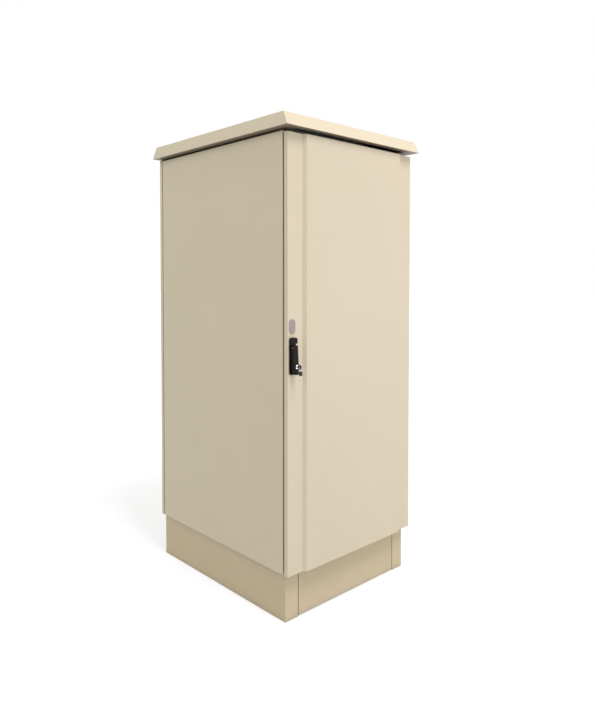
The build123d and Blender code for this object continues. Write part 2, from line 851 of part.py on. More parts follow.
def blank_plate():
    """Bare obround plate on the stile above the handle."""
    straight = plate_length - plate_width
    outline = Rectangle(plate_width, straight)
    for end in (straight / 2, -straight / 2):
        outline += Pos(0, end) * RegularPolygon(plate_width / 2, round_sides)
    place = Pos(x_lock, handle_top + plate_gap + plate_length / 2)
    return front_face * place * extrude(outline, plate_thick)


pin_half = lever_top_width / 2 - pivot_pin_recess
handle_screw = screw(handle_screw_head_radius, handle_screw_head_height,
                     handle_screw_radius, handle_screw_length)
spindle_screw = screw(spindle_radius, handle_screw_head_height, spindle_screw_radius, spindle_screw_bite)
save("handle_base", handle_base_plate())
save("handle_screws", *[place * handle_screw for place in handle_screw_places])
save("handle_spindle", handle_spindle())
save("spindle_screw", spindle_screw_place * spindle_screw)
save("handle_lever", handle_lever())
save("handle_pivot_pin", pivot_axis * bar(round_sides, pivot_pin_radius, -pin_half, pin_half))
save("blank_plate", blank_plate())


# Cylinder and keys
def lock_cylinder():
    """Fixed shell of the cylinder in the lever."""
    bore = clear_radius(plug_radius, round_sides, fit_clearance)
    shell = bar(round_sides, cylinder_radius, 0, cylinder_depth)
    return cylinder_place * (shell - bar(round_sides, bore, cylinder_floor, cylinder_depth + overrun))


def cylinder_plug():
    """Plug that turns with the key, slotted for its blade."""
    plug = bar(round_sides, plug_radius, cylinder_floor + seal_clearance, cylinder_depth + plug_stand)
    half_x = key_blade_thick / 2 + key_clearance
    half_z = key_blade_width / 2 + key_clearance
    slot_depth = (y_plug - overrun, y_plug + key_blade_depth + key_clearance)
    return cylinder_place * plug - block((x_lock - half_x, x_lock + half_x), slot_depth,
                                         (z_cylinder - half_z, z_cylinder + half_z))


bow_drop = key_bow_radius - key_hole_edge


def key_blade():
    """Metal blade that hangs down from the middle of the bow, with the key's hole at the origin."""
    end = -bow_drop - key_bow_radius - key_neck - key_blade_depth
    half_x = key_blade_thick / 2
    half_y = key_blade_width / 2
    return block((-half_x, half_x), (-half_y, half_y), (end, -bow_drop))


def key_bow():
    """Moulded round bow over the blade's end."""
    half = key_bow_thick / 2
    disc = Pos(0, -bow_drop) * bar(round_sides, key_bow_radius, -half, half)
    disc -= bar(small_sides, key_hole_radius, -half, half)
    return Plane.YZ * disc - key_blade()


def key_ring():
    """Flat split ring about the depth axis."""
    half = key_wire / 2
    outer = bar(round_sides, key_ring_radius + half, -half, half)
    return Rot(90, 0, 0) * (outer - bar(round_sides, key_ring_radius - half, -half, half))


y_key_hole = y_plug - key_neck - key_bow_radius - bow_drop
ring_bow = key_ring_radius - math.sqrt(key_ring_radius**2 - (key_bow_thick / 2) ** 2)
hang = math.sqrt(key_hole_radius**2 - (key_wire / 2) ** 2) - key_wire / 2 - key_play - ring_bow
z_ring = z_cylinder - hang - key_ring_radius
key_place = Pos(x_lock, y_key_hole, z_cylinder) * Rot(90, 0, 0)
spare_place = Pos(x_lock, y_key_hole, z_ring - key_ring_radius - hang)
save("lock_cylinder", lock_cylinder())
save("cylinder_plug", cylinder_plug())
save("key_blade", key_place * key_blade())
save("key_bow", key_place * key_bow())
save("key_ring", Pos(x_lock, y_key_hole, z_ring) * key_ring())
save("spare_key_blade", spare_place * key_blade())
save("spare_key_bow", spare_place * key_bow())

# Gearbox and lock rods
pitch_radius = gear_module * pinion_teeth / 2
gear_pitch = math.pi * gear_module
rack_root = pitch_radius + dedendum_share * gear_module
rack_tip = pitch_radius - rack_addendum_share * gear_module
rod_outer = rack_root + rod_width
keeper_top = door_top - keeper_inset
keeper_bottom = door_bottom + keeper_inset
upper_reach = keeper_top - keeper_sheet - keeper_play - z_lock
lower_reach = z_lock - keeper_bottom - keeper_sheet - keeper_play
upper_place = Pos(x_lock, 0, z_lock)
lower_place = Pos(x_lock, 0, z_lock) * Rot(0, 180, 0)


def involute(angle):
    """Involute function of an angle in radians."""
    return math.tan(angle) - angle


def pinion():
    """Spur pinion with a gap between teeth on each side, where the racks mesh."""
    slope = math.radians(pressure_angle)
    base = pitch_radius * math.cos(slope)
    half_tooth = math.pi / pinion_teeth / 2 - gear_backlash / pitch_radius / 4
    flank = []
    for radius in (pitch_radius, pitch_radius + gear_module):
        lean = half_tooth + involute(slope) - involute(math.acos(base / radius))
        flank.append((radius, lean))
    flank.insert(0, (pitch_radius - dedendum_share * gear_module, flank[0][1]))
    outline = []
    for tooth in range(pinion_teeth):
        middle = (tooth + 1 / 2) * 2 * math.pi / pinion_teeth
        side = [(radius, middle - lean) for radius, lean in flank]
        side += [(radius, middle + lean) for radius, lean in reversed(flank)]
        outline += [(radius * math.cos(turn), radius * math.sin(turn)) for radius, turn in side]
    wheel = extrude(make_face(Polyline(*outline, close=True)), rod_thick)
    hole = spindle_square + 2 * fit_clearance
    wheel -= extrude(Rectangle(hole, hole), rod_thick)
    return Pos(x_lock, y_rod_back, z_lock) * Rot(90, 0, 0) * wheel


def lock_rod(reach):
    """Rod with rack teeth beside the pinion, drawn for the upper rod with the spindle at the origin."""
    lean = (rack_root - rack_tip) * math.tan(math.radians(pressure_angle))
    at_pitch = gear_pitch / 2 - gear_backlash / 2
    half_tip = at_pitch / 2 - (pitch_radius - rack_tip) * math.tan(math.radians(pressure_angle))
    outline = [(rod_outer, reach), (rod_outer, -rod_tail), (rack_root, -rod_tail)]
    for number in range(-rack_lead_teeth, rack_teeth - rack_lead_teeth):
        level = number * gear_pitch
        outline += [
            (rack_root, level - half_tip - lean), (rack_tip, level - half_tip),
            (rack_tip, level + half_tip), (rack_root, level + half_tip + lean),
        ]
    outline.append((rack_root, reach))
    face = Plane.XZ.offset(-y_rod_back) * make_face(Polyline(*outline, close=True))
    return extrude(face, rod_thick)


def rod_guides(reach):
    """Guides on the door that a rod slides through, drawn as for the upper rod."""
    middle = rack_root + rod_width / 2
    bore = rod_width / 2 + rod_play
    outer = bore + rod_guide_wall
    for share in rod_guide_shares:
        level = (share * reach - rod_guide_height / 2, share * reach + rod_guide_height / 2)
        back = y_rod_back + rod_play + rod_guide_wall
        guide = block((middle - outer, middle + outer), (y_inside, back), level)
        yield guide - block((middle - bore, middle + bore), (y_rod - rod_play, y_rod_back + rod_play),
                            (level[0] - overrun, level[1] + overrun))


def lock_case():
    """Gearbox case on the inside of the stile, with a way out for each rod."""
    half = rod_outer + rod_play + case_wall
    back = y_inside + case_depth
    case = block((-half, half), (y_inside, back), (-case_half_height, case_half_height))
    case -= block((case_wall - half, half - case_wall), (y_inside + case_wall, back - case_wall),
                  (case_wall - case_half_height, case_half_height - case_wall))
    hole = bar(small_sides, spindle_hole, -case_wall - rod_play, overrun)
    case -= Pos(0, y_inside, 0) * Rot(90, 0, 0) * hole
    window = spindle_radius + case_wall
    case -= block((-window, window), (back - overrun, back + overrun), (-window, window))
    way = block((rack_tip - rod_play, rod_outer + rod_play), (y_rod - rod_play, y_rod_back + rod_play),
                (0, case_half_height + overrun))
    return upper_place * (case - way - Rot(0, 180, 0) * way)


def keeper(level, upward):
    """Hook on the left post that a rod's end moves behind."""
    hook = y_rod - keeper_play - keeper_sheet
    outline = [
        (y_post, level - upward * keeper_pad), (y_post, level),
        (hook, level), (hook, level - upward * keeper_drop),
    ]
    start = x_lock - rod_outer - keeper_play
    part = folded(outline[::upward], keeper_sheet, (start, x_left + keeper_end), Plane.YZ)
    clear = (y_rod_back + keeper_play + keeper_sheet, y_post + overrun)
    heights = (level - keeper_pad - overrun, level + keeper_pad + overrun)
    return part - block((start - overrun, x_post + fold), clear, heights)


save("pinion", pinion())
save("lock_case", lock_case())
save("upper_lock_rod", upper_place * lock_rod(upper_reach))
save("lower_lock_rod", lower_place * lock_rod(lower_reach))
save("rod_guides", *[upper_place * guide for guide in rod_guides(upper_reach)],
     *[lower_place * guide for guide in rod_guides(lower_reach)])
save("upper_keeper", keeper(keeper_top, 1))
save("lower_keeper", keeper(keeper_bottom, -1))
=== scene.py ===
"""Finishes, keys and studio for the roadside utility cabinet, laid out as an add-on and run as a script."""
import json
import math

import bmesh
import bpy
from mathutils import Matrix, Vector

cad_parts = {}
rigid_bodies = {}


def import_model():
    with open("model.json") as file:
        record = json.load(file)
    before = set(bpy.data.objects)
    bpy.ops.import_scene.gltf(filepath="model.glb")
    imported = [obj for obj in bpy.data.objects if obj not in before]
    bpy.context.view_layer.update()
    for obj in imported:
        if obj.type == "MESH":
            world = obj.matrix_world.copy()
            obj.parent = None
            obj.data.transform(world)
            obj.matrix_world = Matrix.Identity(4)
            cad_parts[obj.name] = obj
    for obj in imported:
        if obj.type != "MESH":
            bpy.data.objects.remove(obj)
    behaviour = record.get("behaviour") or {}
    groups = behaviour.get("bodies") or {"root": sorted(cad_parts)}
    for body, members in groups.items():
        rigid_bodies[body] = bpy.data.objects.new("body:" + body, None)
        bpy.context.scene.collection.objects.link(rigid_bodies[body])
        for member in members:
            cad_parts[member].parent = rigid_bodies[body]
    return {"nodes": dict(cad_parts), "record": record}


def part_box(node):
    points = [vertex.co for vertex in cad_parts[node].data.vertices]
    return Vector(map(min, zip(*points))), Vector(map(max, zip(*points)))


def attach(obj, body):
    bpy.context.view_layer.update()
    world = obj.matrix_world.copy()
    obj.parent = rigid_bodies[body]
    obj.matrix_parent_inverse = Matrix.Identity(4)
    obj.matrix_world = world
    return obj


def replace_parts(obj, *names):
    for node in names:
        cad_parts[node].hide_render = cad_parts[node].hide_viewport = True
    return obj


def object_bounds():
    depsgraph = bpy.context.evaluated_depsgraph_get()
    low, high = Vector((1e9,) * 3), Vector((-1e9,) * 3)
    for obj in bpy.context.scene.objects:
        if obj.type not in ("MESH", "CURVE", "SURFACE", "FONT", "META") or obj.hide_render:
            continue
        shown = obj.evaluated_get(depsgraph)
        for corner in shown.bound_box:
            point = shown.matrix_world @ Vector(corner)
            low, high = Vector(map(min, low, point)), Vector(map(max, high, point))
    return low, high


bl_info = {
    "name": "Roadside Cabinet Dressing",
    "version": (1, 0, 0),
    "blender": (4, 5, 0),
    "location": "3D View > Sidebar > Cabinet",
    "description": "Gives the cabinet its coats, metals, keys and studio",
    "category": "Object",
}

for leftover in list(bpy.data.objects):
    bpy.data.objects.remove(leftover)
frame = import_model()
CAD_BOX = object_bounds()

SLOT_NODES = {}
for subpart in frame["record"]["subparts"]:
    SLOT_NODES.setdefault(subpart["material_slot"], []).append(subpart["node"])
PLINTH_NODES = ("plinth_left_wall", "plinth_right_wall", "plinth_front_cover", "plinth_rear_cover")


class CoatSettings(bpy.types.PropertyGroup):
    """Powder coats of the shell, the plinth and the handle."""

    shell_colour: bpy.props.FloatVectorProperty(
        name="Shell", description="Ivory coat of the door, panels and roof", subtype="COLOR",
        default=(0.735, 0.650, 0.497), min=0.0, max=1.0)
    # Painted shade: the plinth wears the same paint as the shell, and this darker, warmer copy stands in for
    # shade.
    plinth_shaded_colour: bpy.props.FloatVectorProperty(
        name="Plinth", description="Warmer coat of the plinth", subtype="COLOR",
        default=(0.66, 0.550, 0.366), min=0.0, max=1.0)
    dust_colour: bpy.props.FloatVectorProperty(
        name="Dust", description="Road dust that settles low on the coat", subtype="COLOR",
        default=(0.52, 0.44, 0.32), min=0.0, max=1.0)
    # Painted shade: dark brown put into corners and onto faces that look down, standing in for shade.
    painted_shade_colour: bpy.props.FloatVectorProperty(
        name="Painted shade", description="Dark grime in sheltered corners and under lips", subtype="COLOR",
        default=(0.150, 0.105, 0.066), min=0.0, max=1.0)
    handle_colour: bpy.props.FloatVectorProperty(
        name="Handle", description="Black textured coat of the handle", subtype="COLOR",
        default=(0.0085, 0.0052, 0.0056), min=0.0, max=1.0)
    fold_softness: bpy.props.FloatProperty(
        name="Fold softness", description="Width of the rounding along coated sheet edges",
        subtype="DISTANCE", unit="LENGTH", default=0.0008, min=0.0, max=0.005)
    # How far the painted shade spreads out of a corner.
    painted_shade_reach: bpy.props.FloatProperty(
        name="Grime reach", description="How far out of a sheltered corner the grime spreads",
        subtype="DISTANCE", unit="LENGTH", default=0.045, min=0.001, max=0.5)
    handle_rounding: bpy.props.FloatProperty(
        name="Handle rounding", description="Rounding along the handle's edges", subtype="DISTANCE",
        unit="LENGTH", default=0.0016, min=0.0, max=0.005)
    dust_height: bpy.props.FloatProperty(
        name="Dust height", description="Height that splashed dust reaches", subtype="DISTANCE",
        unit="LENGTH", default=0.55, min=0.01, max=2.0)


class MetalSettings(bpy.types.PropertyGroup):
    """Bare and plated metals, rubber and plastics."""

    zinc_colour: bpy.props.FloatVectorProperty(
        name="Zinc", description="Galvanised sheet of the inner frame", subtype="COLOR",
        default=(0.60, 0.62, 0.64), min=0.0, max=1.0)
    plated_colour: bpy.props.FloatVectorProperty(
        name="Plated", description="Zinc plated screws and bolts", subtype="COLOR",
        default=(0.68, 0.67, 0.64), min=0.0, max=1.0)
    chrome_colour: bpy.props.FloatVectorProperty(
        name="Chrome", description="Bright plating of the lock and key metal", subtype="COLOR",
        default=(0.78, 0.78, 0.79), min=0.0, max=1.0)
    copper_colour: bpy.props.FloatVectorProperty(
        name="Copper", description="Earth bar", subtype="COLOR",
        default=(0.82, 0.44, 0.28), min=0.0, max=1.0)
    bare_colour: bpy.props.FloatVectorProperty(
        name="Bare plate", description="Dull anodised metal of the small plate", subtype="COLOR",
        default=(0.34, 0.28, 0.28), min=0.0, max=1.0)
    rubber_colour: bpy.props.FloatVectorProperty(
        name="Rubber", description="Gasket and cable bushes", subtype="COLOR",
        default=(0.022, 0.022, 0.023), min=0.0, max=1.0)
    plastic_colour: bpy.props.FloatVectorProperty(
        name="Plastic", description="Moulded guides and standoffs", subtype="COLOR",
        default=(0.30, 0.05, 0.035), min=0.0, max=1.0)
    zinc_softness: bpy.props.FloatProperty(
        name="Zinc softness", description="Rounding along galvanised edges", subtype="DISTANCE",
        unit="LENGTH", default=0.0004, min=0.0, max=0.005)
    small_softness: bpy.props.FloatProperty(
        name="Small softness", description="Rounding of screws, bars, plates and guides", subtype="DISTANCE",
        unit="LENGTH", default=0.0006, min=0.0, max=0.005)
    lock_softness: bpy.props.FloatProperty(
        name="Lock softness", description="Rounding of the plated lock pieces", subtype="DISTANCE",
        unit="LENGTH", default=0.0003, min=0.0, max=0.005)
    rubber_rounding: bpy.props.FloatProperty(
        name="Rubber rounding", description="Rounding of the gasket and cable bushes", subtype="DISTANCE",
        unit="LENGTH", default=0.0015, min=0.0, max=0.005)
    strip_width: bpy.props.FloatProperty(
        name="Strip width", description="Width of the foam strips round the cabinet floor",
        subtype="DISTANCE", unit="LENGTH", default=0.006, min=0.001, max=0.02)
    strip_height: bpy.props.FloatProperty(
        name="Strip height", description="Height of the foam strips round the cabinet floor",
        subtype="DISTANCE", unit="LENGTH", default=0.0065, min=0.001, max=0.02)


class KeySettings(bpy.types.PropertyGroup):
    """Keys and their ring."""

    bow_colour: bpy.props.FloatVectorProperty(
        name="Bow", description="Moulded grip of the keys", subtype="COLOR",
        default=(0.016, 0.016, 0.017), min=0.0, max=1.0)
    bow_rounding: bpy.props.FloatProperty(
        name="Bow rounding", description="Rounding round the rim of a bow", subtype="DISTANCE",
        unit="LENGTH", default=0.0011, min=0.0, max=0.002)
    notch_depth: bpy.props.FloatProperty(
        name="Notch depth", description="Deepest cut in the edge of a key blade", subtype="DISTANCE",
        unit="LENGTH", default=0.0018, min=0.0, max=0.003)


class StageSettings(bpy.types.PropertyGroup):
    """Camera, floor and lamps."""

    camera_place: bpy.props.FloatVectorProperty(
        name="Camera", description="Where the camera stands", subtype="TRANSLATION", unit="LENGTH",
        default=(-2.0927, -2.3602, 1.4123))
    heading: bpy.props.FloatProperty(
        name="Heading", description="Turn of the view from straight at the door", subtype="ANGLE",
        unit="ROTATION", default=math.radians(-42.98))
    pitch: bpy.props.FloatProperty(
        name="Pitch", description="Dip of the view below level", subtype="ANGLE",
        unit="ROTATION", default=math.radians(1.74))
    lens: bpy.props.FloatProperty(
        name="Lens", description="Focal length", subtype="DISTANCE_CAMERA", unit="CAMERA",
        default=31.40, min=1.0)
    frame_shift: bpy.props.FloatProperty(
        name="Frame shift", description="Upright shift of the picture frame", subtype="FACTOR",
        default=-0.0867)
    floor_colour: bpy.props.FloatVectorProperty(
        name="Floor", description="Pale studio floor", subtype="COLOR",
        default=(0.53, 0.53, 0.62), min=0.0, max=1.0)
    floor_reach: bpy.props.FloatProperty(
        name="Floor reach", description="Distance from the middle to the floor's edge", subtype="DISTANCE",
        unit="LENGTH", default=60.0, min=1.0)
    near_glow: bpy.props.FloatProperty(
        name="Near glow", description="White that the camera sees added to the floor by the cabinet",
        default=0.54, min=0.0, max=1.0)
    far_glow: bpy.props.FloatProperty(
        name="Far glow", description="White that the camera sees added to the floor far out",
        default=0.68, min=0.0, max=1.0)
    glow_start: bpy.props.FloatProperty(
        name="Glow start", description="Distance where the near glow begins to rise", subtype="DISTANCE",
        unit="LENGTH", default=1.2, min=0.0)
    glow_end: bpy.props.FloatProperty(
        name="Glow end", description="Distance where the far glow is reached", subtype="DISTANCE",
        unit="LENGTH", default=4.0, min=0.0)
    fill_strength: bpy.props.FloatProperty(
        name="Fill", description="Even light from all round", default=0.70, min=0.0, max=2.0)
    fill_colour: bpy.props.FloatVectorProperty(
        name="Fill colour", description="Tint of the even light", subtype="COLOR",
        default=(0.955, 0.970, 0.800), min=0.0, max=1.0)
    lamp_colour: bpy.props.FloatVectorProperty(
        name="Lamp colour", description="Tint of the softboxes", subtype="COLOR",
        default=(1.0, 0.94, 1.0), min=0.0, max=1.0)
    key_place: bpy.props.FloatVectorProperty(
        name="Key place", description="Where the front softbox hangs", subtype="TRANSLATION", unit="LENGTH",
        default=(2.6, -4.2, 0.9))
    key_size: bpy.props.FloatProperty(
        name="Key size", description="Width of the front softbox", subtype="DISTANCE", unit="LENGTH",
        default=2.8, min=0.1)
    key_power: bpy.props.FloatProperty(
        name="Key", description="Power of the front softbox", subtype="POWER", unit="POWER",
        default=38.0, min=0.0)
    side_place: bpy.props.FloatVectorProperty(
        name="Side place", description="Where the high side softbox hangs",
        subtype="TRANSLATION", unit="LENGTH", default=(-2.5, 0.3, 4.0))
    side_size: bpy.props.FloatProperty(
        name="Side size", description="Width of the high side softbox", subtype="DISTANCE", unit="LENGTH",
        default=1.2, min=0.1)
    side_power: bpy.props.FloatProperty(
        name="Side", description="Power of the high side softbox", subtype="POWER", unit="POWER",
        default=13.0, min=0.0)
    top_place: bpy.props.FloatVectorProperty(
        name="Top place", description="Where the overhead softbox hangs",
        subtype="TRANSLATION", unit="LENGTH", default=(-0.6, -3.7, 8.2))
    top_size: bpy.props.FloatProperty(
        name="Top size", description="Width of the overhead softbox", subtype="DISTANCE", unit="LENGTH",
        default=2.2, min=0.1)
    top_power: bpy.props.FloatProperty(
        name="Top", description="Power of the overhead softbox", subtype="POWER", unit="POWER",
        default=345.0, min=0.0)


def new_finish(name):
    """Node material with its tree and shader."""
    material = bpy.data.materials.new(name)
    material.use_nodes = True
    return material, material.node_tree, material.node_tree.nodes["Principled BSDF"]


def placed(tree, stretch=(1.0, 1.0, 1.0)):
    """Object coordinates, stretched."""
    place = tree.nodes.new("ShaderNodeTexCoord")
    mapping = tree.nodes.new("ShaderNodeMapping")
    mapping.inputs["Scale"].default_value = stretch
    tree.links.new(place.outputs["Object"], mapping.inputs["Vector"])
    return mapping.outputs["Vector"]


def noise(tree, place, scale, detail=3.0, roughness=0.55):
    """Noise value over the place."""
    node = tree.nodes.new("ShaderNodeTexNoise")
    node.inputs["Scale"].default_value = scale
    node.inputs["Detail"].default_value = detail
    node.inputs["Roughness"].default_value = roughness
    tree.links.new(place, node.inputs["Vector"])
    return node.outputs["Fac"]


def ranged(tree, value, low, high, to_low=0.0, to_high=1.0):
    """Value moved from one range to another, clamped."""
    node = tree.nodes.new("ShaderNodeMapRange")
    node.inputs["From Min"].default_value = low
    node.inputs["From Max"].default_value = high
    node.inputs["To Min"].default_value = to_low
    node.inputs["To Max"].default_value = to_high
    tree.links.new(value, node.inputs["Value"])
    return node.outputs["Result"]


def times(tree, first, second):
    """Product of two values."""
    node = tree.nodes.new("ShaderNodeMath")
    node.operation = "MULTIPLY"
    tree.links.new(first, node.inputs[0])
    tree.links.new(second, node.inputs[1])
    return node.outputs["Value"]


def blended(tree, share, first, second):
    """Colour that goes from the first to the second by the share; each is a colour or a socket."""
    node = tree.nodes.new("ShaderNodeMix")
    node.data_type = "RGBA"
    tree.links.new(share, node.inputs["Factor"])
    for socket, colour in ((node.inputs[6], first), (node.inputs[7], second)):
        if isinstance(colour, bpy.types.NodeSocket):
            tree.links.new(colour, socket)
        else:
            socket.default_value = (*colour, 1.0)
    return node.outputs[2]


def raised(tree, shader, height, strength, depth):
    """Bump from a height value."""
    node = tree.nodes.new("ShaderNodeBump")
    node.inputs["Strength"].default_value = strength
    node.inputs["Distance"].default_value = depth
    tree.links.new(height, node.inputs["Height"])
    tree.links.new(node.outputs["Normal"], shader.inputs["Normal"])


def shade(colour, share):
    """Colour made lighter or darker by a share."""
    return tuple(min(channel * share, 1.0) for channel in colour)


def painted_shade_share(tree, reach):
    """Share of painted shade: none in the open, some in corners and most on faces that look down."""
    corner = tree.nodes.new("ShaderNodeAmbientOcclusion")
    corner.inputs["Distance"].default_value = reach
    corner.samples = 8
    surface = tree.nodes.new("ShaderNodeNewGeometry")
    split = tree.nodes.new("ShaderNodeSeparateXYZ")
    tree.links.new(surface.outputs["True Normal"], split.inputs["Vector"])
    # Painted shade: corner darkness and darkness on faces that look down, whichever is more.
    node = tree.nodes.new("ShaderNodeMath")
    node.operation = "MAXIMUM"
    tree.links.new(ranged(tree, corner.outputs["AO"], 0.80, 0.20, 0.0, 0.45), node.inputs[0])
    tree.links.new(ranged(tree, split.outputs["Z"], -0.6, -0.9, 0.0, 0.70), node.inputs[1])
    return node.outputs["Value"]


def powder_coat(name, colour, coats):
    """Satin powder coat: orange peel, cloudy tone, faint rain streaks, dust low down, and painted shade in
    corners and on faces that look down.
    """
    material, tree, shader = new_finish(name)
    place = placed(tree)
    cloud = ranged(tree, noise(tree, place, 1.7), 0.3, 0.7)
    speck = ranged(tree, noise(tree, place, 420.0, 2.0), 0.35, 0.65)
    streak = ranged(tree, noise(tree, placed(tree, (14.0, 14.0, 0.7)), 2.0, 4.0), 0.55, 0.80)
    tone = blended(tree, cloud, shade(colour, 0.975), shade(colour, 1.02))
    tone = blended(tree, ranged(tree, speck, 0.0, 1.0, 0.0, 0.35), tone, shade(colour, 0.96))
    tone = blended(tree, ranged(tree, streak, 0.0, 1.0, 0.0, 0.05), tone, coats.dust_colour)
    split = tree.nodes.new("ShaderNodeSeparateXYZ")
    tree.links.new(place, split.inputs["Vector"])
    low = ranged(tree, split.outputs["Z"], coats.dust_height, 0.0, 0.0, 0.20)
    splash = times(tree, low, ranged(tree, noise(tree, place, 9.0, 6.0), 0.30, 0.75))
    tone = blended(tree, splash, tone, coats.dust_colour)
    # Painted shade: corners and faces that look down go toward a dark brown.
    tone = blended(tree, painted_shade_share(tree, coats.painted_shade_reach), tone, coats.painted_shade_colour)
    tree.links.new(tone, shader.inputs["Base Color"])
    tree.links.new(ranged(tree, cloud, 0.0, 1.0, 0.40, 0.50), shader.inputs["Roughness"])
    shader.inputs["Specular IOR Level"].default_value = 0.45
    raised(tree, shader, noise(tree, place, 700.0, 2.0), 0.06, 0.0004)
    return material


def galvanised(name, colour):
    """Galvanised sheet with pale and dark crystal patches."""
    material, tree, shader = new_finish(name)
    place = placed(tree)
    crystal = tree.nodes.new("ShaderNodeTexVoronoi")
    crystal.inputs["Scale"].default_value = 85.0
    crystal.inputs["Randomness"].default_value = 1.0
    tree.links.new(place, crystal.inputs["Vector"])
    patch = ranged(tree, crystal.outputs["Color"], 0.15, 0.85)
    cloud = ranged(tree, noise(tree, place, 3.0), 0.3, 0.7)
    tone = blended(tree, patch, shade(colour, 0.86), shade(colour, 1.10))
    tone = blended(tree, times(tree, cloud, patch), tone, shade(colour, 0.94))
    tree.links.new(tone, shader.inputs["Base Color"])
    tree.links.new(ranged(tree, patch, 0.0, 1.0, 0.36, 0.52), shader.inputs["Roughness"])
    shader.inputs["Metallic"].default_value = 0.85
    raised(tree, shader, patch, 0.05, 0.0002)
    return material


def polished(name, colour, low, high, scale, metallic=1.0):
    """Plated or bare metal with fine marks and uneven gloss."""
    material, tree, shader = new_finish(name)
    place = placed(tree)
    marks = noise(tree, placed(tree, (1.0, 1.0, 9.0)), scale, 4.0)
    cloud = ranged(tree, noise(tree, place, 60.0), 0.3, 0.7)
    tone = blended(tree, cloud, shade(colour, 0.92), shade(colour, 1.04))
    tree.links.new(tone, shader.inputs["Base Color"])
    tree.links.new(ranged(tree, marks, 0.3, 0.7, low, high), shader.inputs["Roughness"])
    shader.inputs["Metallic"].default_value = metallic
    raised(tree, shader, marks, 0.04, 0.0001)
    return material


def moulded(name, colour, roughness, grain_scale, grain_strength, gloss=0.5):
    """Black coat, rubber or plastic with a fine moulded grain."""
    material, tree, shader = new_finish(name)
    place = placed(tree)
    grain = noise(tree, place, grain_scale, 3.0)
    cloud = ranged(tree, noise(tree, place, 25.0), 0.3, 0.7)
    tone = blended(tree, cloud, shade(colour, 0.85), shade(colour, 1.25))
    tree.links.new(tone, shader.inputs["Base Color"])
    gloss_spread = ranged(tree, grain, 0.3, 0.7, roughness - 0.06, roughness + 0.06)
    tree.links.new(gloss_spread, shader.inputs["Roughness"])
    shader.inputs["Specular IOR Level"].default_value = gloss
    raised(tree, shader, grain, grain_strength, 0.0004)
    return material


def dress(nodes, material, softness, segments=2):
    """Give CAD nodes a finish and soften their edges."""
    for name in nodes:
        piece = frame["nodes"][name]
        piece.data.materials.clear()
        piece.data.materials.append(material)
        weld = piece.modifiers.new("joined", "WELD")
        weld.merge_threshold = 0.00001
        edges = piece.modifiers.new("soft_edges", "BEVEL")
        edges.width = softness
        edges.segments = segments
        edges.limit_method = "ANGLE"
        edges.angle_limit = math.radians(32)
        edges.use_clamp_overlap = True
        faces = piece.modifiers.new("flat_faces", "WEIGHTED_NORMAL")
        faces.mode = "FACE_AREA"
        faces.weight = 100
        piece.data.polygons.foreach_set("use_smooth", [True] * len(piece.data.polygons))


def new_piece(name, mesh, material, body):
    """Object for a mesh, riding on a body and taking its finish from a slot."""
    piece = bpy.data.objects.new(name, mesh)
    bpy.context.scene.collection.objects.link(piece)
    mesh.materials.clear()
    mesh.materials.append(material)
    mesh.polygons.foreach_set("use_smooth", [True] * len(mesh.polygons))
    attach(piece, body)
    return piece


def close_prism(mesh, first, second):
    """Faces between two like loops, and one over each."""
    mesh.faces.new(first)
    mesh.faces.new(second)
    count = len(first)
    for number in range(count):
        after = (number + 1) % count
        mesh.faces.new((first[number], first[after], second[after], second[number]))


def finished(mesh, name):
    """Mesh data with its faces turned outward."""
    bmesh.ops.recalc_face_normals(mesh, faces=mesh.faces)
    data = bpy.data.meshes.new(name)
    mesh.to_mesh(data)
    mesh.free()
    return data


def key_blade_mesh(name, node, along, notch):
    """Blade with notches cut in one edge, from the CAD blade's box; along is the axis that it points down."""
    low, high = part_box(node)
    across = 3 - along
    length = high[along] - low[along]
    steps = 11
    depths = (0.0, 0.0, 0.0, 0.35, 0.9, 0.5, 1.0, 0.6, 0.2, 0.75, 0.4, 1.2)
    mesh = bmesh.new()
    rows = []
    for side in (low.x, high.x):
        row = []
        for number in range(steps + 1):
            point = Vector((side, 0.0, 0.0))
            share = number / steps
            point[along] = high[along] - share * length if along == 2 else low[along] + share * length
            point[across] = low[across] + notch * depths[number]
            row.append(mesh.verts.new(point))
        for number in (steps, 0):
            point = Vector((side, 0.0, 0.0))
            point[along] = row[number].co[along]
            point[across] = high[across]
            row.append(mesh.verts.new(point))
        rows.append(row)
    close_prism(mesh, *rows)
    return finished(mesh, name)


def ring_mesh(name, node):
    """Split ring of two close turns, from the CAD ring's box."""
    low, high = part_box(node)
    centre = (low + high) / 2
    wire = (high.y - low.y) / 4
    radius = (high.x - low.x) / 2 - wire
    turns, around, steps = 2, 8, 48
    mesh = bmesh.new()
    loops = []
    for number in range(turns * steps + 1):
        share = number / (turns * steps)
        turn = 2 * math.pi * turns * share
        shift = wire * (2 * share - 1)
        out = Vector((math.cos(turn), 0.0, math.sin(turn)))
        spot = centre + out * radius + Vector((0.0, shift, 0.0))
        loop = []
        for part in range(around):
            angle = 2 * math.pi * part / around
            offset = out * math.cos(angle) + Vector((0.0, math.sin(angle), 0.0))
            loop.append(mesh.verts.new(spot + offset * wire))
        loops.append(loop)
    for before, after in zip(loops, loops[1:]):
        for part in range(around):
            follow = (part + 1) % around
            mesh.faces.new((before[part], before[follow], after[follow], after[part]))
    mesh.faces.new(loops[0])
    mesh.faces.new(loops[-1])
    return finished(mesh, name)


def foam_strip_mesh(name, start, end, width, height):
    """Foam strip with a rounded back, laid from start to end."""
    across = (end - start).normalized().cross(Vector((0.0, 0.0, 1.0))) * width / 2
    rounds = 8
    mesh = bmesh.new()
    loops = []
    for spot in (start, end):
        loop = [mesh.verts.new(spot - across)]
        for number in range(rounds + 1):
            turn = math.pi * number / rounds
            rise = Vector((0.0, 0.0, height * (1 + math.sin(turn)) / 2))
            loop.append(mesh.verts.new(spot - across * math.cos(turn) + rise))
        loop.append(mesh.verts.new(spot + across))
        loops.append(loop)
    close_prism(mesh, *loops)
    return finished(mesh, name)


